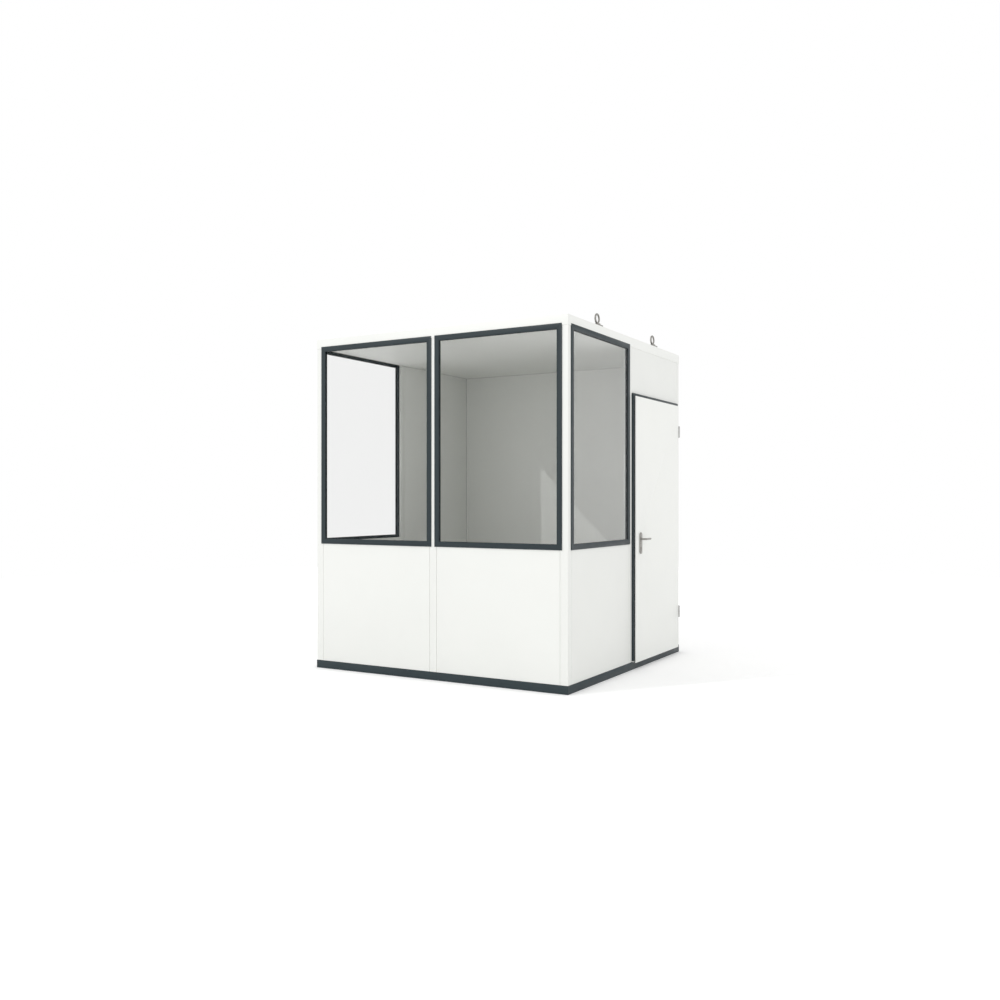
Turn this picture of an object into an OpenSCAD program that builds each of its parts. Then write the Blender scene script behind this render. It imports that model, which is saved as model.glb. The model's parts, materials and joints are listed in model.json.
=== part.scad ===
// Indoor modular cabin: a panel-built room with window bays, a hinged steel door,
// a floor on a base frame and a flat roof with four lifting eyes.
// Frame: X to the right, Y to the back, Z up; the front faces -Y and the door side faces +X.
// The origin is the middle of the underside. Sizes are in millimetres.

/* [Cabin] */
// Overall width along X, over the roof edge
cabin_w = 2250; // [1800:10:2700]
// Overall depth along Y, over the roof edge
cabin_d = 2250; // [2000:10:2700]
// Height from the floor it stands on to the top of the roof edge
cabin_h = 2640; // [2500:10:3200]
// How far the roof edge and the base frame stand out from the wall face
edge_proud = 3; // [1:0.5:5]

/* [Base and floor] */
// Height of the base frame
base_h = 62; // [50:1:80]
// Thickness of the floor deck
deck_t = 21; // [12:1:30]
// Width of a floor joist
joist_w = 60; // [40:1:100]

/* [Walls] */
// Thickness of the wall panels and depth of the posts
wall_t = 40; // [34:1:60]
// Width of a post seen from outside
post_w = 60; // [50:1:80]
// Width of the joint groove beside a post
groove_w = 2.5; // [1:0.5:4]
// Depth of the joint groove
groove_d = 4; // [2:0.5:8]

/* [Roof] */
// Height of the roof edge
fascia_h = 75; // [65:1:100]
// Thickness of the roof panel
roof_t = 60; // [40:1:64]
// Bevel on the outer edges of the roof edge and the base frame
edge_bevel = 2; // [0.5:0.5:3]

/* [Windows] */
// Height of the lower edge of the window frames
sill_h = 1000; // [800:10:1300]
// Width of the window frame seen from outside
frame_face = 40; // [36:1:60]
// How far the window frame laps over the posts, the parapet and the roof edge
frame_lap = 15; // [8:1:20]
// How far the window frame stands out from the wall face
frame_proud = 6; // [6:0.5:10]
// Depth of the window frame behind the wall face
frame_depth = 20; // [18:1:30]
// Thickness of the glass
glass_t = 8; // [6:1:10]
// How far the glass lies behind the front of the frame
glass_recess = 8; // [7:0.5:10]
// How deep the edge of the glass sits in the frame
glass_bite = 10; // [6:1:14]

/* [Door] */
// Height of the top of the door frame
door_top = 2200; // [2050:10:2300]
// Width of the door frame's face
jamb_face = 33; // [30:1:40]
// How far the door frame laps over the posts and the lintel panel
jamb_lap = 0; // [0:1:12]
// How far the door frame stands out from the wall face
jamb_proud = 15; // [12:1:20]
// Width of the stop that the leaf closes against
stop_w = 16; // [10:1:20]
// Thickness of the whole leaf
leaf_t = 40; // [36:1:44]
// Thickness of the rebated edge of the leaf
lip_t = 8; // [6:1:12]
// How far the rebated edge laps over the door frame
lip_lap = 11; // [8:1:14]
// Gap between the edge of the leaf and the frame
leaf_gap = 5; // [3:0.5:7]
// Gap between the back of the rebated edge and the frame
lip_gap = 5; // [3:0.5:7]
// Height of the threshold above the base frame
threshold_h = 8; // [6:1:12]
// How far the rebated edge hangs down over the base frame
lip_drop = 7; // [0:1:10]

/* [Hinges] */
// Radius of a hinge knuckle
knuckle_r = 9; // [7.5:0.5:9]
// Length of a hinge, both halves together
knuckle_len = 94; // [80:1:140]
// Radius of the hinge pin
hinge_pin_r = 4; // [3:0.5:5]
// Height of the middle of the lower hinge
hinge_low = 368; // [250:1:500]
// Distance from the top of the door frame to the middle of the upper hinge
hinge_drop = 249; // [200:1:400]

/* [Lock and handle] */
// Height of the handle's spindle
spindle_h = 1037; // [950:1:1100]
// Distance from the edge of the leaf to the spindle
backset = 78; // [70:1:90]
// Distance from the spindle down to the lock cylinder
cylinder_drop = 72; // [72:1:92]
// Radius of the handle's spindle
spindle_r = 5; // [4:0.5:6]
// Width of a handle plate
plate_w = 42; // [36:1:50]
// Height of a handle plate
plate_h = 172; // [166:1:220]
// Thickness of a handle plate
plate_t = 8; // [6:0.5:10]
// Radius of the handle's rod
lever_r = 8; // [6:0.5:9]
// Distance from the plate to the middle of the grip
lever_reach = 42; // [36:1:60]
// Length of the lever from the spindle to its tip
lever_len = 98; // [90:1:140]

/* [Lifting eyes] */
// Outer diameter of the ring
eye_outer = 80; // [72:1:110]
// Thickness of the ring's bar
eye_bar = 14; // [12:1:22]
// Diameter of the collar under the ring
eye_collar = 50; // [40:1:54]
// Distance of the ring from the outer side of the cabin
eye_inset = 35; // [32:1:60]
// Thickness of the seat plate under the collar
seat_t = 10; // [6:1:15]

/* [Hidden] */

$fn = 64;

// Sides of the cabin, numbered the way the walls turn
FRONT = 0;
RIGHT = 1;
BACK = 2;
LEFT = 3;

// Colours
WHITE = "#F3F3EF";
ANTHRACITE = "#383E42";
STEEL = "#A9A9A4";
ALUMINIUM = "#C9CAC8";
GLASS = [0.78, 0.86, 0.86, 0.35];
DECK = "#8B8D8E";

// A hair's breadth that lets a cut run past the face it opens
CUT = 1;
// Clearance that a fixed piece keeps in its pocket
FIT = 0.3;
// Radial clearance of a shaft that turns in its bore
RUN = 0.05;

// Heights that the walls share
wall_top = cabin_h - fascia_h;
window_bottom = sill_h + frame_lap;
lintel_bottom = door_top - jamb_lap;
threshold_top = base_h + threshold_h;
beam_t = wall_t + edge_proud;

// Along the door wall: the rear bay lies between the middle post and the rear corner post
bay_start = post_w / 2;
function half_wall(side) = (side % 2 == 0 ? cabin_w : cabin_d) / 2 - edge_proud;
function wall_plane(side) = (side % 2 == 0 ? cabin_d : cabin_w) / 2 - edge_proud;
function bay_end(side) = half_wall(side) - post_w;

// Door sizes, along the wall and from the wall face inwards
door_mid = (bay_start + bay_end(RIGHT)) / 2;
door_half = (bay_end(RIGHT) - bay_start) / 2;
frame_half = door_half + jamb_lap;
rebate_half = frame_half - jamb_face;
clear_half = rebate_half - stop_w;
rebate_top = door_top - jamb_face;
leaf_half = rebate_half - leaf_gap;
leaf_top = rebate_top - leaf_gap;
leaf_bottom = threshold_top + leaf_gap;
lip_half = rebate_half + lip_lap;
lip_top = rebate_top + lip_lap;
lip_bottom = base_h - lip_drop;
lip_back = -jamb_proud - lip_gap;
leaf_face = lip_back - lip_t;
leaf_back = leaf_face + leaf_t;
stop_front = leaf_back + leaf_gap;

// Hinge axis: beside the rebated edge, in the plane of the leaf's face
hinge_clear = 1;
hinge_x = door_mid + lip_half + hinge_clear + knuckle_r;
hinge_y = leaf_face;
hinge_heights = [hinge_low, door_top - hinge_drop];
hinge_split = 1;
hinge_web = 8;

// Lock and handle places
spindle_x = door_mid - leaf_half + backset;
cylinder_h = spindle_h - cylinder_drop;
plate_rise = 3;
plate_middle = (spindle_h + cylinder_h) / 2 + plate_rise;
cylinder_r = 8.5;
cylinder_bar = 10;
cylinder_fin = 33;
cylinder_out = 3;
lock_rise = 30;
lock_middle = cylinder_h + lock_rise;
edge_middle = (leaf_face + lip_t + leaf_back) / 2;
faceplate_h = 235;
faceplate_w = 20;
faceplate_t = 3;
strike_h = 170;
strike_w = 20;
strike_t = 2;
lever_bend_r = lever_r * 1.6;
lever_bore_r = lever_r + 2;

// Lifting eye places
ring_r = (eye_outer - eye_bar) / 2;
collar_t = 9;
eye_lift = 8;
neck_r = eye_bar * 0.65;
seat_len = 80;
seat_depth = 60;

// --- placing ---

// Local frame of a wall: x along it to the right as seen from outside, y inwards from the face
module on_wall(side) {
    rotate([0, 0, 90 * side]) translate([0, -wall_plane(side), 0]) children();
}

module block(x, y, z) {
    translate([x[0], y[0], z[0]]) cube([x[1] - x[0], y[1] - y[0], z[1] - z[0]]);
}

// A flat ring: the outer rectangle less the inner one, each as [x from, x to, z from, z to]
module ring(outer, inner, y) {
    difference() {
        block([outer[0], outer[1]], y, [outer[2], outer[3]]);
        block([inner[0], inner[1]], [y[0] - CUT, y[1] + CUT], [inner[2], inner[3]]);
    }
}

// --- base and floor ---

// A beam with mitred ends along a side: a bevelled section run along the wall
module edge_beam(side, z_low, z_high) {
    reach = half_wall(side) + edge_proud;
    on_wall(side) intersection() {
        rotate([90, 0, 90]) linear_extrude(height = 2 * reach, center = true)
            polygon([[-edge_proud + edge_bevel, z_low], [wall_t, z_low], [wall_t, z_high],
                     [-edge_proud + edge_bevel, z_high], [-edge_proud, z_high - edge_bevel],
                     [-edge_proud, z_low + edge_bevel]]);
        translate([0, 0, z_low]) linear_extrude(height = z_high - z_low)
            polygon([[-reach, -edge_proud], [reach, -edge_proud],
                     [reach - beam_t, wall_t], [beam_t - reach, wall_t]]);
    }
}

module base(side) {
    color(ANTHRACITE) edge_beam(side, 0, base_h);
}

module floor_joists() {
    run = cabin_d - 2 * beam_t;
    spread = (cabin_w - 2 * beam_t) / 4;
    color(ANTHRACITE) for (place = [-1, 0, 1])
        translate([place * spread, 0, (base_h - deck_t) / 2])
            cube([joist_w, run, base_h - deck_t], center = true);
}

module floor_deck() {
    color(DECK) translate([0, 0, base_h - deck_t / 2])
        cube([cabin_w - 2 * beam_t, cabin_d - 2 * beam_t, deck_t], center = true);
}

// --- posts and panels ---

// An angle post: its corner on the outside, as thick as the wall on both legs
module corner_post(turn) {
    toward_x = turn == 0 || turn == 3 ? -1 : 1;
    toward_y = turn < 2 ? -1 : 1;
    color(WHITE)
        translate([toward_x * (cabin_w / 2 - edge_proud), toward_y * (cabin_d / 2 - edge_proud), base_h])
            rotate([0, 0, 90 * turn]) linear_extrude(height = wall_top - base_h)
                polygon([[0, 0], [post_w, 0], [post_w, wall_t], [wall_t, wall_t],
                         [wall_t, post_w], [0, post_w]]);
}

module mid_post(side) {
    color(WHITE) on_wall(side) block([-post_w / 2, post_w / 2], [0, wall_t], [base_h, wall_top]);
}

// A wall panel between two posts, with a joint groove along both upright edges, outside and inside
module panel(side, bay, z_low, z_high) {
    x_low = bay > 0 ? bay_start : -bay_end(side);
    x_high = bay > 0 ? bay_end(side) : -bay_start;
    color(WHITE) on_wall(side) difference() {
        block([x_low, x_high], [0, wall_t], [z_low, z_high]);
        for (x = [x_low - CUT, x_high - groove_w], y = [-CUT, wall_t - groove_d])
            block([x, x + groove_w + CUT], [y, y + groove_d + CUT], [z_low - CUT, z_high + CUT]);
    }
}

// --- windows ---

// Outline of a window bay, taken in by an amount on all four sides
function bay_outline(side, bay, inset) =
    let (low = bay > 0 ? bay_start : -bay_end(side),
         high = bay > 0 ? bay_end(side) : -bay_start)
    [low + inset, high - inset, window_bottom + inset, wall_top - inset];

glass_front = glass_recess - frame_proud;
glass_back = glass_front + glass_t;
light_inset = frame_face - frame_lap;
glass_inset = light_inset - glass_bite;

module window_frame(side, bay) {
    opening = bay_outline(side, bay, light_inset);
    flange = bay_outline(side, bay, -frame_lap);
    pocket = bay_outline(side, bay, glass_inset - FIT);
    color(ANTHRACITE) on_wall(side) difference() {
        union() {
            ring(flange, opening, [-frame_proud, 0]);
            ring(bay_outline(side, bay, 0), opening, [0, frame_depth]);
        }
        // The flange steps over the roof edge, which stands out from the wall
        block([flange[0] - CUT, flange[1] + CUT], [-edge_proud, CUT], [wall_top, flange[3] + CUT]);
        // The rebate that takes the glass and its bead
        block([pocket[0], pocket[1]], [glass_front, frame_depth + CUT], [pocket[2], pocket[3]]);
    }
}

module window_pane(side, bay) {
    edge = bay_outline(side, bay, glass_inset);
    color(GLASS) on_wall(side)
        block([edge[0], edge[1]], [glass_front, glass_back], [edge[2], edge[3]]);
}

module glazing_bead(side, bay) {
    on_wall(side)
        ring(bay_outline(side, bay, glass_inset), bay_outline(side, bay, light_inset),
             [glass_back, frame_depth]);
}

module glazing_beads() {
    color(ANTHRACITE) {
        glazing_bead(FRONT, -1);
        glazing_bead(FRONT, 1);
        glazing_bead(RIGHT, -1);
        glazing_bead(LEFT, 1);
    }
}

// --- roof ---

module fascia(side) {
    color(WHITE) edge_beam(side, wall_top, cabin_h);
}

module roof_panel() {
    color(WHITE) translate([0, 0, wall_top + roof_t / 2])
        cube([cabin_w - 2 * beam_t, cabin_d - 2 * beam_t, roof_t], center = true);
}

// A ring eye on its collar, on a seat plate over the roof edge
module lifting_eye(toward_x, toward_y) {
    ring_h = seat_t + eye_lift + eye_outer / 2;
    color(STEEL)
        translate([toward_x * (cabin_w / 2 - eye_inset), toward_y * cabin_d / 4, cabin_h]) {
            translate([-seat_depth / 2, -seat_len / 2, 0]) cube([seat_depth, seat_len, seat_t]);
            cylinder(r = eye_collar / 2, h = seat_t + collar_t);
            cylinder(r = neck_r, h = ring_h - ring_r);
            translate([0, 0, ring_h]) rotate([0, 90, 0]) rotate_extrude()
                translate([ring_r, 0]) circle(r = eye_bar / 2);
        }
}

// --- door frame ---

// One upright of the door frame; outward is -1 on the lock side and 1 on the hinge side
module jamb_bar(outward) {
    on_wall(RIGHT) translate([door_mid, 0, 0]) scale([outward, 1, 1]) {
        block([rebate_half, frame_half], [-jamb_proud, 0], [threshold_top, rebate_top]);
        block([rebate_half, door_half], [-CUT, wall_t], [threshold_top, rebate_top]);
        block([clear_half, door_half], [stop_front, wall_t], [threshold_top, rebate_top]);
    }
}

module door_jamb_lock_side() {
    color(ANTHRACITE) difference() {
        jamb_bar(-1);
        strike_box(CUT);
    }
}

module door_jamb_hinge_side() {
    color(ANTHRACITE) jamb_bar(1);
}

module door_head() {
    stop_bottom = rebate_top - stop_w;
    color(ANTHRACITE) on_wall(RIGHT) translate([door_mid, 0, 0]) {
        block([-frame_half, frame_half], [-jamb_proud, 0], [rebate_top, door_top]);
        block([-door_half, door_half], [-CUT, wall_t], [rebate_top, lintel_bottom]);
        block([-clear_half, clear_half], [stop_front, wall_t], [stop_bottom, rebate_top + CUT]);
    }
}

module door_threshold() {
    color(ALUMINIUM) on_wall(RIGHT) translate([door_mid, 0, 0]) {
        block([-frame_half, frame_half], [-jamb_proud, 0], [base_h, threshold_top]);
        block([-door_half, door_half], [-CUT, wall_t], [base_h, threshold_top]);
    }
}

// The strike plate lies flush in the lock-side jamb, facing the edge of the leaf
module strike_box(grow) {
    on_wall(RIGHT)
        block([door_mid - rebate_half - strike_t, door_mid - rebate_half + grow],
              [edge_middle - strike_w / 2, edge_middle + strike_w / 2],
              [lock_middle - strike_h / 2, lock_middle + strike_h / 2]);
}

module strike_plate() {
    color(STEEL) strike_box(0);
}

// --- door leaf ---

// The keyhole-shaped section of the lock cylinder, grown by a clearance
module cylinder_section(grow) {
    circle(r = cylinder_r + grow);
    translate([-cylinder_bar / 2 - grow, -cylinder_fin + cylinder_r - grow])
        square([cylinder_bar + 2 * grow, cylinder_fin - cylinder_r + grow]);
}

module cylinder_body(y, grow) {
    on_wall(RIGHT) translate([spindle_x, y[1], cylinder_h]) rotate([90, 0, 0])
        linear_extrude(height = y[1] - y[0]) cylinder_section(grow);
}

module along_spindle(y, radius) {
    on_wall(RIGHT) translate([spindle_x, y[1], spindle_h]) rotate([90, 0, 0])
        cylinder(r = radius, h = y[1] - y[0]);
}

module faceplate_box(grow) {
    edge = door_mid - leaf_half;
    on_wall(RIGHT)
        block([edge - grow, edge + faceplate_t],
              [edge_middle - faceplate_w / 2, edge_middle + faceplate_w / 2],
              [lock_middle - faceplate_h / 2, lock_middle + faceplate_h / 2]);
}

module door_leaf() {
    color(WHITE) difference() {
        on_wall(RIGHT) translate([door_mid, 0, 0]) {
            block([-leaf_half, leaf_half], [leaf_face, leaf_back], [leaf_bottom, leaf_top]);
            block([-lip_half, lip_half], [leaf_face, lip_back], [lip_bottom, lip_top]);
        }
        along_spindle([leaf_face - CUT, leaf_back + CUT], lever_bore_r);
        cylinder_body([leaf_face - CUT, leaf_back + CUT], FIT);
        faceplate_box(CUT);
    }
}

module lock_faceplate() {
    color(STEEL) faceplate_box(0);
}

module lock_cylinder() {
    color(STEEL) cylinder_body([leaf_face - plate_t - cylinder_out,
                                leaf_back + plate_t + cylinder_out], 0);
}

// --- hinges ---

// Frame half: the lower knuckle with its pin, welded to the face of the frame
module hinge_frame_half(middle) {
    half = knuckle_len / 2;
    on_wall(RIGHT) translate([hinge_x, hinge_y, middle]) {
        translate([0, 0, -half]) cylinder(r = knuckle_r, h = half - hinge_split / 2);
        translate([0, 0, -half]) cylinder(r = hinge_pin_r, h = knuckle_len - knuckle_r);
        block([-hinge_web / 2, hinge_web / 2], [0, -hinge_y - jamb_proud],
              [-half, -hinge_split / 2]);
    }
}

// Leaf half: the upper knuckle, bored for the pin, welded to the rebated edge
module hinge_leaf_half(middle) {
    half = knuckle_len / 2;
    bore_top = half - knuckle_r + hinge_split;
    on_wall(RIGHT) translate([hinge_x, hinge_y, middle]) difference() {
        union() {
            translate([0, 0, hinge_split / 2]) cylinder(r = knuckle_r, h = half - hinge_split / 2);
            block([-knuckle_r - hinge_clear, 0], [0, hinge_web], [hinge_split / 2, half]);
        }
        translate([0, 0, -CUT]) cylinder(r = hinge_pin_r + RUN, h = bore_top + CUT);
    }
}

module hinge_frame_halves() {
    color(STEEL) for (middle = hinge_heights) hinge_frame_half(middle);
}

module hinge_leaf_halves() {
    color(STEEL) for (middle = hinge_heights) hinge_leaf_half(middle);
}

// --- handle ---

// A plate with round ends on one face of the leaf, bored for the lever and the lock cylinder
module handle_plate(y) {
    round_r = plate_w / 2;
    color(STEEL) difference() {
        on_wall(RIGHT) translate([spindle_x, y[1], plate_middle]) rotate([90, 0, 0])
            linear_extrude(height = y[1] - y[0]) {
                square([plate_w, plate_h - plate_w], center = true);
                for (end = [-1, 1]) translate([0, end * (plate_h / 2 - round_r)]) circle(r = round_r);
            }
        along_spindle([y[0] - CUT, y[1] + CUT], lever_r + RUN);
        cylinder_body([y[0] - CUT, y[1] + CUT], FIT);
    }
}

// A lever: neck, quarter bend and grip; outward is -1 outside and 1 inside
module lever(face, outward) {
    color(STEEL) on_wall(RIGHT) translate([spindle_x, face, spindle_h]) scale([1, outward, 1])
        difference() {
            union() {
                rotate([-90, 0, 0]) cylinder(r = lever_r, h = plate_t + lever_reach - lever_bend_r);
                translate([lever_bend_r, plate_t + lever_reach - lever_bend_r, 0])
                    rotate([0, 0, 90]) rotate_extrude(angle = 90)
                        translate([lever_bend_r, 0]) circle(r = lever_r);
                translate([lever_bend_r, plate_t + lever_reach, 0]) rotate([0, 90, 0])
                    cylinder(r = lever_r, h = lever_len - lever_bend_r - lever_r);
                translate([lever_len - lever_r, plate_t + lever_reach, 0]) sphere(r = lever_r);
            }
            translate([0, -CUT, 0]) rotate([-90, 0, 0])
                cylinder(r = spindle_r, h = plate_t + CUT);
        }
}

module handle_spindle() {
    color(STEEL) along_spindle([leaf_face - plate_t, leaf_back + plate_t], spindle_r);
}

// --- the nodes ---

base(FRONT);  // base_front
base(RIGHT);  // base_right
base(BACK);  // base_back
base(LEFT);  // base_left
floor_joists();
floor_deck();
corner_post(0);  // corner_post_front_left
corner_post(1);  // corner_post_front_right
corner_post(2);  // corner_post_back_right
corner_post(3);  // corner_post_back_left
mid_post(FRONT);  // mid_post_front
mid_post(RIGHT);  // mid_post_right
mid_post(BACK);  // mid_post_back
mid_post(LEFT);  // mid_post_left
panel(FRONT, -1, base_h, window_bottom);  // parapet_front_left
panel(FRONT, 1, base_h, window_bottom);  // parapet_front_right
panel(RIGHT, -1, base_h, window_bottom);  // parapet_right
panel(LEFT, 1, base_h, window_bottom);  // parapet_left
panel(LEFT, -1, base_h, wall_top);  // wall_panel_left
panel(BACK, 1, base_h, wall_top);  // wall_panel_back_left
panel(BACK, -1, base_h, wall_top);  // wall_panel_back_right
panel(RIGHT, 1, lintel_bottom, wall_top);  // door_lintel_panel
window_frame(FRONT, -1);  // window_frame_front_left
window_frame(FRONT, 1);  // window_frame_front_right
window_frame(RIGHT, -1);  // window_frame_right
window_frame(LEFT, 1);  // window_frame_left
window_pane(FRONT, -1);  // window_pane_front_left
window_pane(FRONT, 1);  // window_pane_front_right
window_pane(RIGHT, -1);  // window_pane_right
window_pane(LEFT, 1);  // window_pane_left
glazing_beads();
fascia(FRONT);  // fascia_front
fascia(RIGHT);  // fascia_right
fascia(BACK);  // fascia_back
fascia(LEFT);  // fascia_left
roof_panel();
door_jamb_lock_side();
door_jamb_hinge_side();
door_head();
door_threshold();
door_leaf();
hinge_frame_halves();
hinge_leaf_halves();
strike_plate();
lock_faceplate();
lock_cylinder();
handle_plate([leaf_face - plate_t, leaf_face]);  // handle_plate_outside
handle_plate([leaf_back, leaf_back + plate_t]);  // handle_plate_inside
lever(leaf_face, -1);  // lever_outside
lever(leaf_back, 1);  // lever_inside
handle_spindle();
lifting_eye(1, -1);  // lifting_eye_front_right
lifting_eye(1, 1);  // lifting_eye_back_right
lifting_eye(-1, 1);  // lifting_eye_back_left
lifting_eye(-1, -1);  // lifting_eye_front_left
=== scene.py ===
"""The looks of the indoor modular cabin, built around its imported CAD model.

Lengths are in metres, in the CAD model's frame: X right, Y back, Z up, front facing -Y, door side facing +X.
"""
import json
import math

import bmesh
import bpy
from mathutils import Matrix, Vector


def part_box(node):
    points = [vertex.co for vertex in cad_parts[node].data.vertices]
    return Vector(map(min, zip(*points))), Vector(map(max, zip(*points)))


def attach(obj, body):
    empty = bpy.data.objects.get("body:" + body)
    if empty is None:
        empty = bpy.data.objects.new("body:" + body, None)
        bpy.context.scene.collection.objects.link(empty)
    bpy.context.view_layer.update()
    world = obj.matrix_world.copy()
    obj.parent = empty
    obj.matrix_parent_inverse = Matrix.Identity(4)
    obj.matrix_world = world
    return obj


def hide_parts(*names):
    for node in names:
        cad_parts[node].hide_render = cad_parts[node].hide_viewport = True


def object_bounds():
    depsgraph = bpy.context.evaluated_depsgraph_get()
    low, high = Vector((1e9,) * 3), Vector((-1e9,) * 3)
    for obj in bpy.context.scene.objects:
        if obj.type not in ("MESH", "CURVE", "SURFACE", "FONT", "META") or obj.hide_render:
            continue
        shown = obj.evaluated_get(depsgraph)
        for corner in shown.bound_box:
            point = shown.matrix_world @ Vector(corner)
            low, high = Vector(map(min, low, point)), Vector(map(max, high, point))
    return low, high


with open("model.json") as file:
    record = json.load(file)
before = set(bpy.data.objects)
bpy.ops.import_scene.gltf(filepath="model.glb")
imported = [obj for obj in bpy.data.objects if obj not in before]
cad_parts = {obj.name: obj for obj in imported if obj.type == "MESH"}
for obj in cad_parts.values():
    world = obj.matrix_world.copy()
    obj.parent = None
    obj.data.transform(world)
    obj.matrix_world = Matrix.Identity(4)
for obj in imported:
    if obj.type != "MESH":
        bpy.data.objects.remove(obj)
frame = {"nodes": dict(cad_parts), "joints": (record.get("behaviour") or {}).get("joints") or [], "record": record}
cad_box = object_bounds()

BODY_OF = {node: body for body, nodes in frame["record"]["behaviour"]["bodies"].items() for node in nodes}
SLOT_OF = {part["node"]: part["material_slot"] for part in frame["record"]["subparts"]}

# The four sides, numbered the way the walls turn
FRONT, RIGHT, BACK, LEFT = range(4)

# The wall faces: the base frame stands out from them by this much
EDGE_PROUD = 0.003
FACE_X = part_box("base_right")[1].x - EDGE_PROUD
FACE_Y = -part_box("base_front")[0].y - EDGE_PROUD


# ---------------------------------------------------------------- places

def quarter_turn(side):
    """Cosine and sine of a wall's turn."""
    turn = side * math.pi / 2
    return round(math.cos(turn)), round(math.sin(turn))


def wall_point(side, x, y, z):
    """A point given in a wall's own frame: x along it as seen from outside, y inwards from its face."""
    y -= FACE_Y if side % 2 == 0 else FACE_X
    c, s = quarter_turn(side)
    return Vector((x * c - y * s, x * s + y * c, z))


def local_box(node, side):
    """Lowest and highest corner of a CAD node in a wall's own frame."""
    low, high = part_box(node)
    c, s = quarter_turn(side)
    depth = FACE_Y if side % 2 == 0 else FACE_X
    corners = [(x * c + y * s, -x * s + y * c + depth) for x in (low.x, high.x) for y in (low.y, high.y)]
    xs, ys = zip(*corners)
    return Vector((min(xs), min(ys), low.z)), Vector((max(xs), max(ys), high.z))


# ---------------------------------------------------------------- materials

def new_material(name):
    """A node material that has only its output, and its node tree."""
    mat = bpy.data.materials.new(name)
    mat.use_nodes = True
    tree = mat.node_tree
    tree.nodes.clear()
    tree.nodes.new("ShaderNodeOutputMaterial")
    return mat, tree


def node(tree, kind, **inputs):
    """Adds a shader node; a value sets a socket, and a socket links to it.

    A key is the socket's name with _ for a space, or i and its number.
    """
    made = tree.nodes.new("ShaderNode" + kind)
    for key, value in inputs.items():
        numbered = key[0] == "i" and key[1:].isdigit()
        socket = made.inputs[int(key[1:]) if numbered else key.replace("_", " ")]
        if isinstance(value, bpy.types.NodeSocket):
            tree.links.new(value, socket)
        else:
            socket.default_value = value
    return made


def output(tree, shader):
    tree.links.new(shader, tree.nodes["Material Output"].inputs["Surface"])


def noise(tree, scale, detail=2.0, stretch=(1, 1, 1)):
    """Noise in the piece's own coordinates; scale is in features per metre."""
    place = tree.nodes.new("ShaderNodeTexCoord").outputs["Object"]
    if stretch != (1, 1, 1):
        place = node(tree, "Mapping", Vector=place, Scale=stretch).outputs["Vector"]
    return node(tree, "TexNoise", Vector=place, Scale=scale, Detail=detail).outputs["Fac"]


def between(tree, fac, low, high, start=0.3, stop=0.7):
    """Maps a noise value to the range from low to high."""
    return node(tree, "MapRange", Value=fac, i1=start, i2=stop, i3=low, i4=high).outputs["Result"]


def mixed_colour(tree, fac, a, b):
    mix = tree.nodes.new("ShaderNodeMix")
    mix.data_type = "RGBA"
    tree.links.new(fac, mix.inputs["Factor"])
    mix.inputs[6].default_value = (*a, 1)
    mix.inputs[7].default_value = (*b, 1)
    return mix.outputs[2]


def scaled(colour, factor):
    return tuple(min(1.0, c * factor) for c in colour)


def bump(tree, height, depth, normal=None):
    made = node(tree, "Bump", Height=height, Strength=1.0, Distance=depth)
    if normal is not None:
        tree.links.new(normal, made.inputs["Normal"])
    return made.outputs["Normal"]


def powder_coat(name, colour, rough=0.38, peel=0.00003, drift=0.985, gloss=0.5):
    """Baked powder paint: an orange-peel skin, slow colour drift and uneven sheen."""
    mat, tree = new_material(name)
    cloud = noise(tree, 1.3, 3.0)
    skin = noise(tree, 420.0, 2.0)
    tint = mixed_colour(tree, between(tree, cloud, 0.0, 1.0),
                        scaled(colour, drift), scaled(colour, 2 - drift))
    sheen = between(tree, noise(tree, 9.0, 4.0), rough - 0.05, rough + 0.05)
    shader = node(tree, "BsdfPrincipled", Base_Color=tint, Roughness=sheen, Specular_IOR_Level=gloss,
                  Normal=bump(tree, skin, peel))
    output(tree, shader.outputs["BSDF"])
    return mat


def metal(name, colour, rough, stretch, grain, depth, drift=0.9):
    """Bare or plated metal: a directional or grainy surface with an uneven shine."""
    mat, tree = new_material(name)
    lines = noise(tree, grain, 3.0, stretch)
    spots = noise(tree, 38.0, 3.0)
    tint = mixed_colour(tree, between(tree, spots, 0.0, 1.0), scaled(colour, drift), colour)
    shine = between(tree, lines, rough - 0.08, rough + 0.10)
    shader = node(tree, "BsdfPrincipled", Base_Color=tint, Metallic=1.0, Roughness=shine,
                  Normal=bump(tree, lines, depth))
    output(tree, shader.outputs["BSDF"])
    return mat


def rubber(name, colour):
    """Black extruded sealing rubber with a dull, slightly dusty skin."""
    mat, tree = new_material(name)
    dust = noise(tree, 60.0, 5.0)
    tint = mixed_colour(tree, between(tree, dust, 0.0, 1.0, 0.45, 0.8), colour, scaled(colour, 1.8))
    shader = node(tree, "BsdfPrincipled", Base_Color=tint, Roughness=between(tree, dust, 0.55, 0.75),
                  Normal=bump(tree, noise(tree, 900.0), 0.00003))
    output(tree, shader.outputs["BSDF"])
    return mat


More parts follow.
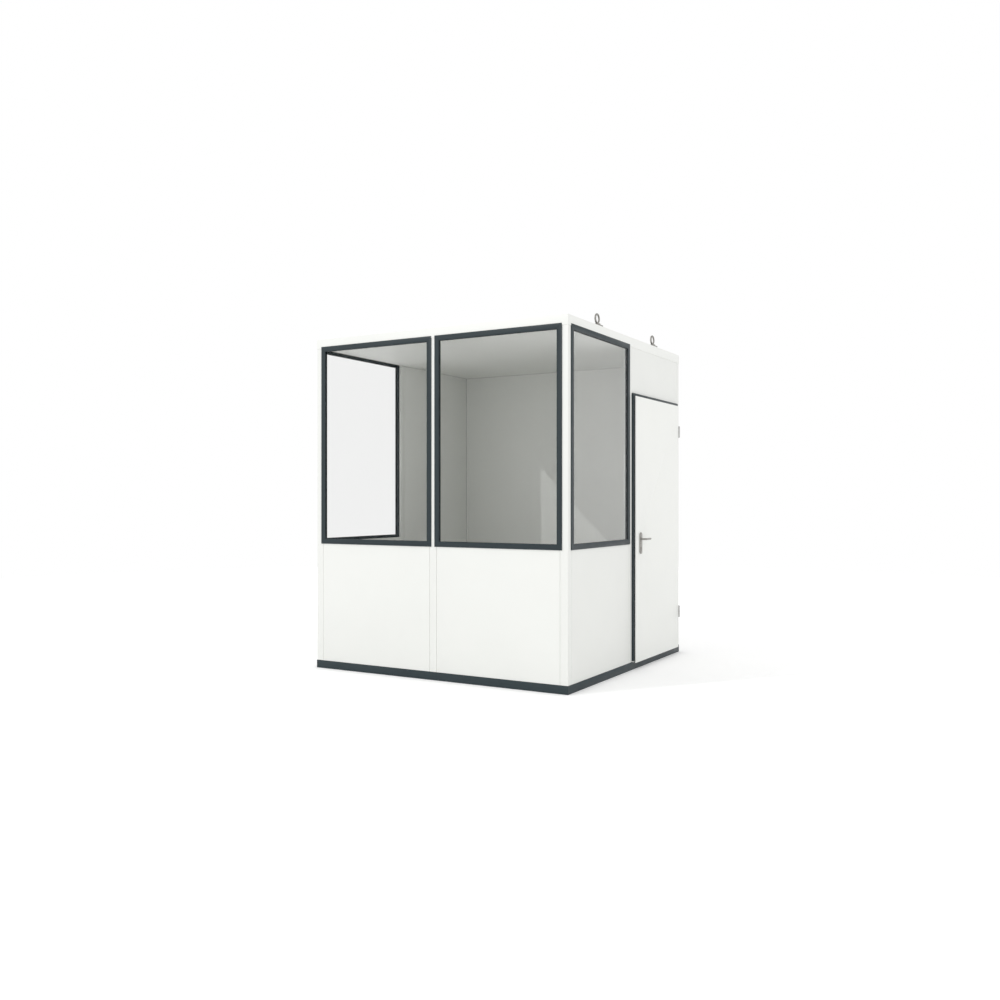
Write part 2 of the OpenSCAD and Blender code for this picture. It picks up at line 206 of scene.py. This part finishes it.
def sheet_floor(name, colour):
    """Grey sheet flooring: light and dark chips in a matt, slightly pebbled wear layer."""
    mat, tree = new_material(name)
    place = tree.nodes.new("ShaderNodeTexCoord").outputs["Object"]
    chips = node(tree, "TexVoronoi", Vector=place, Scale=260.0).outputs["Color"]
    value = node(tree, "SeparateColor", Color=chips).outputs["Red"]
    light = mixed_colour(tree, between(tree, value, 0.0, 1.0, 0.80, 0.84), colour, scaled(colour, 1.5))
    dark = between(tree, value, 1.0, 0.0, 0.10, 0.14)
    mix = tree.nodes.new("ShaderNodeMix")
    mix.data_type = "RGBA"
    tree.links.new(dark, mix.inputs["Factor"])
    tree.links.new(light, mix.inputs[6])
    mix.inputs[7].default_value = (*scaled(colour, 0.55), 1)
    shader = node(tree, "BsdfPrincipled", Base_Color=mix.outputs[2],
                  Roughness=between(tree, noise(tree, 14.0, 4.0), 0.42, 0.58),
                  Normal=bump(tree, noise(tree, 700.0), 0.00005))
    output(tree, shader.outputs["BSDF"])
    return mat


def clear_glass(name, tint, straight=0.004):
    """A pane that lets light and sight straight through and mirrors more at a slant.

    Its mirror share follows Schlick's curve, which is the same for both faces of the pane.
    """
    mat, tree = new_material(name)
    smear = between(tree, noise(tree, 2.2, 4.0), 0.0, 0.012)
    through = node(tree, "BsdfTransparent", Color=(*tint, 1))
    mirror = node(tree, "BsdfGlossy", Color=(1, 1, 1, 1), Roughness=smear)
    slant = node(tree, "LayerWeight", Blend=0.5).outputs["Facing"]
    curve = node(tree, "Math", i0=slant, i1=5.0)
    curve.operation = "POWER"
    share = between(tree, curve.outputs["Value"], straight, 1.0, 0.0, 1.0)
    mix = node(tree, "MixShader", i0=share, i1=through.outputs["BSDF"], i2=mirror.outputs["BSDF"])
    output(tree, mix.outputs["Shader"])
    return mat


WHITE = (0.826, 0.835, 0.805)
ANTHRACITE = (0.022, 0.034, 0.039)
MATERIALS = {
    "wall_white": powder_coat("wall_white_coat", WHITE),
    "roof_white": powder_coat("roof_white_coat", scaled(WHITE, 1.05)),
    "door_white": powder_coat("door_white_coat", scaled(WHITE, 1.065), 0.34),
    "base_anthracite": powder_coat("base_anthracite_coat", scaled(ANTHRACITE, 1.15), 0.42,
                                   drift=0.93, gloss=0.3),
    "joist_steel": powder_coat("joist_primer", (0.10, 0.11, 0.12), 0.55, drift=0.85),
    "floor_covering": sheet_floor("floor_sheet", (0.60, 0.60, 0.59)),
    "window_anthracite": powder_coat("window_anthracite_coat", ANTHRACITE, 0.40, drift=0.93, gloss=0.3),
    "glass": clear_glass("window_glass", (0.970, 0.971, 0.970)),
    "door_frame_anthracite": powder_coat("door_frame_anthracite_coat", ANTHRACITE, 0.40,
                                         drift=0.93, gloss=0.3),
    "aluminium": metal("threshold_aluminium", (0.80, 0.80, 0.79), 0.34, (1, 0.04, 1), 900.0, 0.00002),
    "hinge_steel": metal("hinge_zinc", (0.50, 0.50, 0.49), 0.36, (1, 1, 1), 160.0, 0.00002),
    "satin_steel": metal("handle_satin_steel", (0.36, 0.35, 0.33), 0.30, (1, 1, 0.05), 1400.0, 0.00001),
    "eye_steel": metal("eye_zinc", (0.32, 0.31, 0.29), 0.30, (1, 1, 1), 220.0, 0.00003),
}
# The ceiling's white is the wall white lifted by painted light, for the light thrown up onto the ceiling from
# below
CEILING_PAINTED_LIGHT = powder_coat("ceiling_white_painted_light", scaled(WHITE, 1.14), 0.5)
RUBBER = rubber("sealing_rubber", (0.018, 0.019, 0.020))
NYLON = powder_coat("hinge_nylon", (0.20, 0.20, 0.20), 0.5)
# Near-black paint for the strike plate's openings and the keyholes: painted shade standing in for their dark
# insides
OPENING_PAINTED_SHADE = powder_coat("lock_shadow", (0.012, 0.012, 0.012), 0.6, drift=0.8)


# ---------------------------------------------------------------- meshes

def add_object(name, bm, material, body, smooth=True):
    """Links a finished mesh as a piece that rides on a CAD body."""
    bmesh.ops.recalc_face_normals(bm, faces=bm.faces)
    mesh = bpy.data.meshes.new(name)
    bm.to_mesh(mesh)
    bm.free()
    obj = bpy.data.objects.new(name, mesh)
    bpy.context.scene.collection.objects.link(obj)
    mesh.materials.append(material)
    for face in mesh.polygons:
        face.use_smooth = smooth
    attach(obj, body)
    return obj


def rounded(obj, radius, segments=3, sharp=30.0):
    """Rounds every edge sharper than the given angle and evens out the shading."""
    bevel = obj.modifiers.new("edge_radius", "BEVEL")
    bevel.width = radius
    bevel.segments = segments
    bevel.limit_method = "ANGLE"
    bevel.angle_limit = math.radians(sharp)
    bevel.harden_normals = True
    return obj


def soften(name, radius, segments=3):
    """Replaces a CAD node by the same shape with rounded edges."""
    bm = bmesh.new()
    bm.from_mesh(frame["nodes"][name].data)
    bmesh.ops.remove_doubles(bm, verts=bm.verts, dist=1e-5)
    bmesh.ops.dissolve_limit(bm, angle_limit=math.radians(0.2), verts=bm.verts, edges=bm.edges)
    slot = SLOT_OF[name]
    obj = add_object(name + "_finished", bm, MATERIALS[slot], BODY_OF[name])
    rounded(obj, radius, segments)
    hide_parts(name)
    return obj


def sweep(name, place, path, section, material, body, closed=True):
    """Runs a section along a flat path with mitred corners.

    place(a, b, c) gives the point for path coordinates a, b and depth c; a section point is
    (how far to the left of the path, depth).
    """
    bm = bmesh.new()
    count = len(path)
    rings = []
    for i, point in enumerate(path):
        before = Vector(path[i - 1]) if closed or i else None
        after = Vector(path[(i + 1) % count]) if closed or i < count - 1 else None
        here = Vector(point)
        sides = []
        if before is not None:
            sides.append((here - before).normalized())
        if after is not None:
            sides.append((after - here).normalized())
        normals = [Vector((-d.y, d.x)) for d in sides]
        mitre = sum(normals, Vector((0, 0))).normalized()
        mitre /= mitre.dot(normals[0])
        rings.append([bm.verts.new(place(here.x + mitre.x * u, here.y + mitre.y * u, v)) for u, v in section])
    spans = count if closed else count - 1
    size = len(section)
    for i in range(spans):
        near, far = rings[i], rings[(i + 1) % count]
        for k in range(size):
            bm.faces.new((near[k], near[(k + 1) % size], far[(k + 1) % size], far[k]))
    if not closed:
        bm.faces.new(rings[0])
        bm.faces.new(reversed(rings[-1]))
    return add_object(name, bm, material, body, smooth=False)


def skin(bm, rings, steps):
    """Joins each ring of points to the next with faces; a ring may be a single point."""
    for near, far in zip(rings, rings[1:]):
        for k in range(steps):
            nxt = (k + 1) % steps
            if len(near) == 1:
                bm.faces.new((near[0], far[nxt], far[k]))
            elif len(far) == 1:
                bm.faces.new((near[k], near[nxt], far[0]))
            else:
                bm.faces.new((near[k], near[nxt], far[nxt], far[k]))


def lathe(bm, profile, centre, axis, steps=32):
    """Turns a profile of (radius, height) points about an axis through centre; adds closed ends."""
    axis = Vector(axis).normalized()
    across = axis.orthogonal().normalized()
    other = axis.cross(across)
    rings = []
    for radius, height in profile:
        base = Vector(centre) + axis * height
        if radius == 0:
            rings.append([bm.verts.new(base)])
            continue
        ring = []
        for k in range(steps):
            angle = 2 * math.pi * k / steps
            ring.append(bm.verts.new(base + across * radius * math.cos(angle)
                                     + other * radius * math.sin(angle)))
        rings.append(ring)
    skin(bm, rings, steps)
    for ring in (rings[0], rings[-1]):
        if len(ring) > 1:
            bm.faces.new(ring)


def hex_radius(angle, flat):
    """Distance from the middle of a hexagon to its side at an angle; flat is half its width over flats."""
    turned = (angle + math.pi / 6) % (math.pi / 3) - math.pi / 6
    return flat / math.cos(turned)


def socket_screw(bm, centre, axis, radius, height):
    """A low round head with a hexagon socket."""
    axis = Vector(axis).normalized()
    across = axis.orthogonal().normalized()
    other = axis.cross(across)
    steps = 24
    levels = [("round", radius, 0.0), ("round", radius, height * 0.6), ("round", radius * 0.85, height),
              ("hex", radius * 0.42, height), ("hex", radius * 0.42, height * 0.25)]
    rings = []
    for kind, size, level in levels:
        ring = []
        for k in range(steps):
            angle = 2 * math.pi * k / steps
            reach = size if kind == "round" else hex_radius(angle, size)
            ring.append(bm.verts.new(Vector(centre) + axis * level
                                     + across * reach * math.cos(angle) + other * reach * math.sin(angle)))
        rings.append(ring)
    skin(bm, rings, steps)
    bm.faces.new(rings[0])
    bm.faces.new(rings[-1])


def hex_bolt(bm, centre, radius, height):
    """A hexagon bolt head on a round washer, standing up along Z."""
    washer = 0.002
    lathe(bm, [(radius * 1.25, 0), (radius * 1.25, washer * 0.8), (radius * 1.15, washer)], centre, (0, 0, 1))
    levels = [(1.0, washer), (1.0, height * 0.82), (0.9, height), (0.45, height), (0, height * 0.96)]
    flat = radius * 0.87
    steps = 24
    rings = []
    for scale, level in levels:
        ring = []
        for k in range(steps):
            angle = 2 * math.pi * k / steps
            reach = hex_radius(angle, flat) if scale == 1.0 else flat * scale
            ring.append(Vector(centre) + Vector((reach * math.cos(angle), reach * math.sin(angle), level)))
        rings.append([bm.verts.new(ring[0])] if scale == 0 else [bm.verts.new(p) for p in ring])
    skin(bm, rings, steps)
    bm.faces.new(rings[0])


def wall_block(bm, side, low, high):
    """A box given in a wall's own frame."""
    corners = [bm.verts.new(wall_point(side, x, y, z))
               for x in (low[0], high[0]) for y in (low[1], high[1]) for z in (low[2], high[2])]
    for a, b, c, d in ((0, 1, 3, 2), (4, 6, 7, 5), (0, 4, 5, 1), (2, 3, 7, 6), (0, 2, 6, 4), (1, 5, 7, 3)):
        bm.faces.new((corners[a], corners[b], corners[c], corners[d]))


# ---------------------------------------------------------------- the cabin's own pieces

def finish_cad_pieces():
    """Gives each CAD node its material, and rounds the edges of the folded and cast ones."""
    for name, obj in frame["nodes"].items():
        obj.data.materials.clear()
        obj.data.materials.append(MATERIALS[SLOT_OF[name]])
    radii = {"wall_white": 0.0008, "roof_white": 0.0012, "door_white": 0.0020, "base_anthracite": 0.0010,
             "window_anthracite": 0.0010, "door_frame_anthracite": 0.0015, "aluminium": 0.0008,
             "hinge_steel": 0.0005}
    for name in sorted(frame["nodes"]):
        slot = SLOT_OF[name]
        if slot in radii:
            soften(name, radii[slot])
    for name in ("handle_plate_outside", "handle_plate_inside"):
        soften(name, 0.0022, 4)
    for name in ("strike_plate", "lock_faceplate", "lock_cylinder"):
        soften(name, 0.0004, 2)


# Width of a window frame's face, from its outer edge to the opening
FRAME_FACE = 0.040
# Each window, and the side it is in
WINDOWS = {"front_left": FRONT, "front_right": FRONT, "right": RIGHT, "left": LEFT}


def rectangle(low_x, high_x, low_z, high_z):
    """Corners of an upright rectangle, so that its inside lies to the left of the path."""
    return [(low_x, low_z), (high_x, low_z), (high_x, high_z), (low_x, high_z)]


def glazing_gaskets():
    """Rubber strips that seal each pane to its frame outside and to its bead inside."""
    width, lip = 0.0012, 0.0024
    for name, side in WINDOWS.items():
        low, high = local_box("window_frame_" + name, side)
        pane_low, pane_high = local_box("window_pane_" + name, side)
        path = rectangle(low.x + FRAME_FACE, high.x - FRAME_FACE, low.z + FRAME_FACE, high.z - FRAME_FACE)
        place = lambda a, b, c, side=side: wall_point(side, a, c, b)
        out = pane_low.y
        sweep(f"gasket_outside_{name}", place, path,
              [(0, out), (width, out), (width, out - lip * 0.5), (width * 0.5, out - lip), (0, out - lip)],
              RUBBER, "cabin")
        back = pane_high.y
        sweep(f"gasket_inside_{name}", place, path,
              [(0, back), (0, back + lip), (width * 0.5, back + lip), (width, back + lip * 0.5),
               (width, back)],
              RUBBER, "cabin")


def door_seal():
    """A hollow-bulb seal on the stop of the door frame, round both jambs and the head."""
    head = local_box("door_head", RIGHT)
    lock = local_box("door_jamb_lock_side", RIGHT)
    leaf = local_box("door_leaf", RIGHT)
    inner_low = lock[1].x
    inner_high = local_box("door_jamb_hinge_side", RIGHT)[0].x
    foot_gap = 0.001
    bottom = lock[0].z + foot_gap
    top = head[0].z
    stop_gap = 0.005
    stop_front = leaf[1].y + stop_gap
    bulb, inset, flattened, steps = 0.0044, 0.007, 0.9, 10
    section = [(-inset + bulb / 2 * math.cos(t) * flattened,
                stop_front - bulb / 2 + bulb / 2 * math.sin(t))
               for t in (2 * math.pi * k / steps for k in range(steps))]
    path = [(inner_low, bottom), (inner_low, top), (inner_high, top), (inner_high, bottom)]
    path.reverse()
    sweep("door_frame_seal", lambda a, b, c: wall_point(RIGHT, a, c, b), path, section, RUBBER, "cabin",
          closed=False)


def threshold_ribs():
    """Low anti-slip ribs along the threshold."""
    low, high = local_box("door_threshold", RIGHT)
    end_gap = 0.002
    jamb = local_box("door_jamb_lock_side", RIGHT)[1].x + end_gap
    end = local_box("door_jamb_hinge_side", RIGHT)[0].x - end_gap
    bm = bmesh.new()
    rib, tall, first, pitch, count = 0.0015, 0.0012, 0.014, 0.006, 7
    for k in range(count):
        y = low.y + first + k * pitch
        base = [(y - rib, high.z), (y + rib, high.z),
                (y + rib * 0.4, high.z + tall), (y - rib * 0.4, high.z + tall)]
        ends = [[bm.verts.new(wall_point(RIGHT, x, yy, zz)) for yy, zz in base] for x in (jamb, end)]
        for i in range(4):
            j = (i + 1) % 4
            bm.faces.new((ends[0][i], ends[0][j], ends[1][j], ends[1][i]))
        bm.faces.new(ends[0])
        bm.faces.new(reversed(ends[1]))
    add_object("threshold_ribs", bm, MATERIALS["aluminium"], "cabin", smooth=False)


def roof_sealant():
    """A bead of sealant in the corner between the roof panel and the roof edge."""
    low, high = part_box("roof_panel")
    path = [(low.x, low.y), (high.x, low.y), (high.x, high.y), (low.x, high.y)]
    leg = 0.008
    section = [(0, high.z), (leg, high.z), (leg * 0.45, high.z + leg * 0.35), (0, high.z + leg)]
    sweep("roof_sealant", lambda a, b, c: Vector((a, b, c)), path, section,
          powder_coat("sealant", (0.62, 0.62, 0.60), 0.5, 0.00008), "cabin")


# Thickness of the sheet that lines the ceiling
LINING = 0.002


def ceiling_painted_light_sheet():
    """A white sheet under the roof panel, lighter than the walls' white: painted light for the light the ceiling
    gets from below.
    """
    low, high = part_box("floor_deck")
    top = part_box("roof_panel")[0].z
    bm = bmesh.new()
    bmesh.ops.create_cube(bm, size=1.0)
    for vert in bm.verts:
        vert.co.x = high.x if vert.co.x > 0 else low.x
        vert.co.y = high.y if vert.co.y > 0 else low.y
        vert.co.z = top if vert.co.z > 0 else top - LINING
    rounded(add_object("ceiling_painted_light_sheet", bm, CEILING_PAINTED_LIGHT, "cabin"), LINING * 0.2)


def room_sealant():
    """Beads of sealant in the room's four upright corners and along its ceiling."""
    deck_low, deck_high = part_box("floor_deck")
    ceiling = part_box("roof_panel")[0].z - LINING
    leg = 0.006
    grey = powder_coat("room_sealant_grey", (0.56, 0.56, 0.54), 0.6, 0.00008)
    bm = bmesh.new()
    for x, toward_x in ((deck_low.x, 1), (deck_high.x, -1)):
        for y, toward_y in ((deck_low.y, 1), (deck_high.y, -1)):
            outline = [(x, y), (x + toward_x * leg, y), (x + toward_x * leg * 0.4, y + toward_y * leg * 0.4),
                       (x, y + toward_y * leg)]
            low = [bm.verts.new((a, b, deck_high.z)) for a, b in outline]
            high = [bm.verts.new((a, b, ceiling)) for a, b in outline]
            for i in range(4):
                j = (i + 1) % 4
                bm.faces.new((low[i], low[j], high[j], high[i]))
            bm.faces.new(low)
            bm.faces.new(high)
    add_object("room_corner_sealant", bm, grey, "cabin", smooth=False)
    path = [(deck_low.x, deck_low.y), (deck_high.x, deck_low.y), (deck_high.x, deck_high.y),
            (deck_low.x, deck_high.y)]
    thin = leg * 0.5
    section = [(0, ceiling), (0, ceiling - thin), (thin * 0.45, ceiling - thin * 0.45), (thin, ceiling)]
    sweep("ceiling_sealant", lambda a, b, c: Vector((a, b, c)), path, section, grey, "cabin")


def lifting_eye_bolts():
    """Two bolts that hold each lifting eye's seat plate to the roof edge."""
    reach, head, tall, seat = 0.0325, 0.0065, 0.007, 0.010
    for corner in ("front_right", "back_right", "back_left", "front_left"):
        low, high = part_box("lifting_eye_" + corner)
        middle = (low + high) / 2
        bm = bmesh.new()
        for along in (-reach, reach):
            hex_bolt(bm, (middle.x, middle.y + along, low.z + seat), head, tall)
        add_object(f"lifting_eye_bolts_{corner}", bm, MATERIALS["eye_steel"],
                   "cabin", smooth=False)


def lock_details():
    """Screws, latch and bolt on the leaf's edge, and near-black blocks of painted shade where their openings in
    the strike plate and the keyholes are.
    """
    plate_low, plate_high = local_box("lock_faceplate", RIGHT)
    middle_y = (plate_low.y + plate_high.y) / 2
    spindle = local_box("handle_spindle", RIGHT)
    height = (spindle[0].z + spindle[1].z) / 2
    inward = wall_point(RIGHT, 1, 0, 0) - wall_point(RIGHT, 0, 0, 0)
    screw_radius, screw_height, plate_inset, strike_inset = 0.0045, 0.0012, 0.014, 0.012
    bm = bmesh.new()
    for z in (plate_low.z + plate_inset, plate_high.z - plate_inset):
        socket_screw(bm, wall_point(RIGHT, plate_low.x, middle_y, z), -inward, screw_radius, screw_height)
    add_object("faceplate_screws", bm, MATERIALS["satin_steel"], "door", smooth=False)
    # The latch and the bolt below it: how far each stands out, half its depth, and its lowest and
    # highest point from the spindle
    sunk = 0.002
    bm = bmesh.new()
    for proud, half, low_z, high_z in ((0.0010, 0.006, -0.030, 0.004), (0.0006, 0.004, -0.100, -0.064)):
        wall_block(bm, RIGHT, (plate_low.x - proud, middle_y - half, height + low_z),
                   (plate_low.x + sunk, middle_y + half, height + high_z))
    rounded(add_object("latch_and_bolt", bm, MATERIALS["satin_steel"], "door"), 0.0005)

    strike_low, strike_high = local_box("strike_plate", RIGHT)
    strike_y = (strike_low.y + strike_high.y) / 2
    bm = bmesh.new()
    for z in (strike_low.z + strike_inset, strike_high.z - strike_inset):
        socket_screw(bm, wall_point(RIGHT, strike_high.x, strike_y, z), inward, screw_radius, screw_height)
    add_object("strike_screws", bm, MATERIALS["satin_steel"], "cabin", smooth=False)
    # The openings for latch and bolt are near-black blocks on the strike plate: painted shade for the dark inside
    # of each opening
    sunk, proud, half = 0.0015, 0.0002, 0.007
    bm = bmesh.new()
    for low_z, high_z in ((height - 0.033, height + 0.007), (height - 0.103, height - 0.061)):
        wall_block(bm, RIGHT, (strike_high.x - sunk, strike_y - half, low_z),
                   (strike_high.x + proud, strike_y + half, high_z))
    rounded(add_object("strike_openings_painted_shade", bm, OPENING_PAINTED_SHADE, "cabin"), 0.0001)

    barrel_low, barrel_high = local_box("lock_cylinder", RIGHT)
    radius = (barrel_high.x - barrel_low.x) / 2
    centre_x = (barrel_low.x + barrel_high.x) / 2
    centre_z = barrel_high.z - radius
    outward = wall_point(RIGHT, 0, -1, 0) - wall_point(RIGHT, 0, 0, 0)
    plug, slot_width, slot_height = 0.0006, 0.0016, 0.0090
    for place, face, axis in (("outside", barrel_low.y, outward), ("inside", barrel_high.y, -outward)):
        step = -plug if place == "outside" else plug
        bm = bmesh.new()
        lathe(bm, [(radius * 0.72, 0), (radius * 0.72, 0.0004), (radius * 0.68, plug)],
              wall_point(RIGHT, centre_x, face, centre_z), axis)
        add_object(f"cylinder_plug_{place}", bm, MATERIALS["satin_steel"],
                   "door", smooth=False)
        # Each keyhole is a near-black slot block on the plug: painted shade for the dark slot
        bm = bmesh.new()
        near, far = sorted((face + step * 0.9, face + step * 1.2))
        wall_block(bm, RIGHT, (centre_x - slot_width / 2, near, centre_z - slot_height / 2),
                   (centre_x + slot_width / 2, far, centre_z + slot_height / 2))
        rounded(add_object(f"keyway_painted_shade_{place}", bm, OPENING_PAINTED_SHADE, "door"), 0.00005)


def handle_details():
    """A turned collar at the foot of each lever, and the screws of the inside plate."""
    lever = local_box("lever_outside", RIGHT)
    radius = (lever[1].z - lever[0].z) / 2
    spindle = local_box("handle_spindle", RIGHT)
    x = (spindle[0].x + spindle[1].x) / 2
    z = (spindle[0].z + spindle[1].z) / 2
    outward = wall_point(RIGHT, 0, -1, 0) - wall_point(RIGHT, 0, 0, 0)
    faces = {"outside": (local_box("handle_plate_outside", RIGHT)[0].y, outward),
             "inside": (local_box("handle_plate_inside", RIGHT)[1].y, -outward)}
    for place, (face, axis) in faces.items():
        bm = bmesh.new()
        lathe(bm, [(radius + 0.0005, 0.0004), (radius + 0.0042, 0.0004), (radius + 0.0042, 0.0016),
                   (radius + 0.0030, 0.0028), (radius + 0.0005, 0.0032)],
              wall_point(RIGHT, x, face, z), axis, 48)
        add_object(f"lever_collar_{place}", bm, MATERIALS["satin_steel"],
                   "handle", smooth=False)
    plate = local_box("handle_plate_inside", RIGHT)
    bm = bmesh.new()
    inset, screw_radius, screw_height = 0.010, 0.0042, 0.0014
    for at in (plate[0].z + inset, plate[1].z - inset):
        socket_screw(bm, wall_point(RIGHT, x, plate[1].y, at), -outward, screw_radius, screw_height)
    add_object("inside_plate_screws", bm, MATERIALS["satin_steel"], "door", smooth=False)


def hinge_details():
    """Rounded caps on both ends of each hinge and a washer between its halves."""
    axis_at = Vector(frame["joints"][0]["pos_m"])
    frame_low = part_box("hinge_frame_halves")[0]
    leaf_low, leaf_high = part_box("hinge_leaf_halves")
    radius = (leaf_high.x - leaf_low.x) / 2
    gap, washer = 0.001, 0.0008
    length = 2 * (leaf_low.z - frame_low.z) - gap
    bottoms = {"lower": frame_low.z, "upper": leaf_high.z - length}
    cap = [(radius * 0.98, 0), (radius * 0.94, 0.0016), (radius * 0.78, 0.0028),
           (radius * 0.45, 0.0036), (0, 0.0039)]
    for name, bottom in bottoms.items():
        foot = (axis_at.x, axis_at.y, bottom)
        top = (axis_at.x, axis_at.y, bottom + length)
        middle = (axis_at.x, axis_at.y, bottom + length / 2 - washer / 2)
        bm = bmesh.new()
        lathe(bm, cap, foot, (0, 0, -1))
        add_object(f"hinge_cap_low_{name}", bm, MATERIALS["hinge_steel"], "cabin")
        bm = bmesh.new()
        lathe(bm, cap, top, (0, 0, 1))
        add_object(f"hinge_cap_top_{name}", bm, MATERIALS["hinge_steel"], "door")
        bm = bmesh.new()
        lathe(bm, [(radius * 0.5, 0), (radius * 0.96, 0), (radius * 0.96, washer), (radius * 0.5, washer)],
              middle, (0, 0, 1))
        add_object(f"hinge_washer_{name}", bm, NYLON, "cabin", smooth=False)


# ---------------------------------------------------------------- floor, light and camera

# Radius of the studio floor
FLOOR_RADIUS = 12.0


def make_floor():
    """A pale floor; seen by the camera it is as white as the backdrop, apart from the shadow.

    It ends before its far edge would show through the windows.
    """
    mat, tree = new_material("studio_floor")
    lit, seen, glow_seen = (0.92, 0.92, 0.92), (0.985, 0.985, 0.985), 0.06
    sight = tree.nodes.new("ShaderNodeLightPath").outputs
    tint = mixed_colour(tree, sight["Is Camera Ray"], lit, seen)
    matt = node(tree, "BsdfDiffuse", Color=tint)
    lift = node(tree, "Math", i0=sight["Is Camera Ray"], i1=glow_seen)
    lift.operation = "MULTIPLY"
    glow = node(tree, "Emission", Color=(1, 1, 1, 1), Strength=lift.outputs["Value"])
    both = node(tree, "AddShader", i0=matt.outputs["BSDF"], i1=glow.outputs["Emission"])
    output(tree, both.outputs["Shader"])
    bm = bmesh.new()
    bmesh.ops.create_circle(bm, cap_ends=True, radius=FLOOR_RADIUS, segments=96)
    for vert in bm.verts:
        vert.co.z = cad_box[0].z
    mesh = bpy.data.meshes.new("studio_floor")
    bm.to_mesh(mesh)
    bm.free()
    floor = bpy.data.objects.new("studio_floor", mesh)
    bpy.context.scene.collection.objects.link(floor)
    mesh.materials.append(mat)


def make_world(strength):
    """Even white light from all round; the backdrop itself is pure white."""
    world = bpy.data.worlds.new("studio")
    bpy.context.scene.world = world
    world.use_nodes = True
    tree = world.node_tree
    tree.nodes.clear()
    out = tree.nodes.new("ShaderNodeOutputWorld")
    sight = tree.nodes.new("ShaderNodeLightPath").outputs
    seen = node(tree, "Math", i0=sight["Is Camera Ray"], i1=sight["Is Glossy Ray"])
    seen.operation = "MAXIMUM"
    also = node(tree, "Math", i0=seen.outputs["Value"], i1=sight["Is Transmission Ray"])
    also.operation = "MAXIMUM"
    light = node(tree, "Background", Color=(1, 1, 1, 1), Strength=strength)
    backdrop = node(tree, "Background", Color=(1, 1, 1, 1), Strength=1.0)
    mix = node(tree, "MixShader", i0=also.outputs["Value"], i1=light.outputs["Background"],
               i2=backdrop.outputs["Background"])
    tree.links.new(mix.outputs["Shader"], out.inputs["Surface"])


def make_sun(direction, strength, softness):
    """A weak, soft lamp from the front left that draws the light patch on the back wall."""
    data = bpy.data.lights.new("soft_sun", "SUN")
    data.energy = strength
    data.angle = math.radians(softness)
    lamp = bpy.data.objects.new("soft_sun", data)
    bpy.context.scene.collection.objects.link(lamp)
    lamp.rotation_euler = Vector(direction).to_track_quat("-Z", "Y").to_euler()


def make_camera():
    """A level 35 mm camera, turned 30 degrees to the left of straight at the front."""
    turn = math.radians(30)
    height, distance, aside = 1.350, 6.721, 0.471
    corner = Vector((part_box("base_front")[1].x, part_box("base_front")[0].y, 0))
    ahead = Vector((-math.sin(turn), math.cos(turn), 0))
    right = Vector((math.cos(turn), math.sin(turn), 0))
    data = bpy.data.cameras.new("camera")
    data.lens = 35
    data.sensor_width = 36
    cam = bpy.data.objects.new("camera", data)
    bpy.context.scene.collection.objects.link(cam)
    cam.location = corner - ahead * distance - right * aside + Vector((0, 0, height))
    cam.rotation_euler = (math.pi / 2, 0, turn)
    bpy.context.scene.camera = cam


finish_cad_pieces()
glazing_gaskets()
door_seal()
threshold_ribs()
roof_sealant()
ceiling_painted_light_sheet()
room_sealant()
lifting_eye_bolts()
lock_details()
handle_details()
hinge_details()

make_floor()
make_world(strength=1.0)
make_sun(direction=(0.5175, 0.684, -0.5135), strength=0.55, softness=0.8)
make_camera()
bpy.context.scene.view_settings.view_transform = "Standard"
